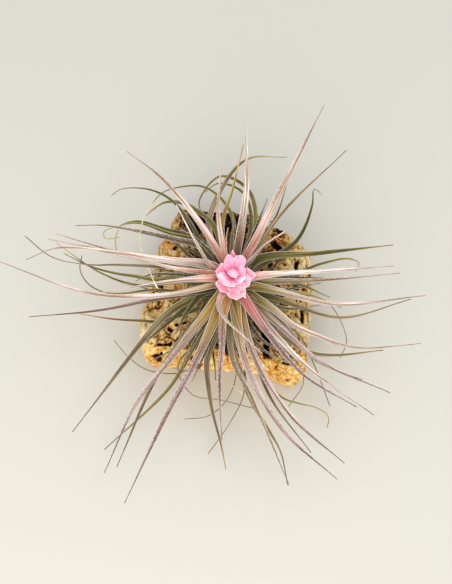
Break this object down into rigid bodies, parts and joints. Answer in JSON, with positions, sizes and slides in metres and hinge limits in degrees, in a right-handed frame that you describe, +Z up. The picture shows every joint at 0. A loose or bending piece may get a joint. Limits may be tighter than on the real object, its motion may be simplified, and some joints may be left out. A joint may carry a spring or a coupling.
{
  "type": "air plant on cork bark",
  "caption": "Silver-pink and green rosette air plant with arching channelled leaves and a pink bract head, resting on a rough piece of cork bark.",
  "frame": {"origin": "centre of the bark's flat underside, on the surface that it lies on", "axes": "+Z up out of the bark, -Y towards the cut front of the bark, +X to the right seen from the front"},
  "size_m": [0.213, 0.1935, 0.085],
  "materials": {
    "cork": "rough virgin cork bark, fissured brown top and brighter ochre cut front",
    "green_leaf": "olive-green leaf, finely scaled, tan dry tips",
    "silver_leaf": "silver-pink scaled leaf with pale margins, rose and ochre bases",
    "bract": "soft satin pink bract with pale margins"
  },
  "bodies": {
    "root": {"cork_bark": "cork", "lower_leaves": "green_leaf", "upper_leaves": "silver_leaf", "bract_head": "bract"}
  },
  "joints": []
}
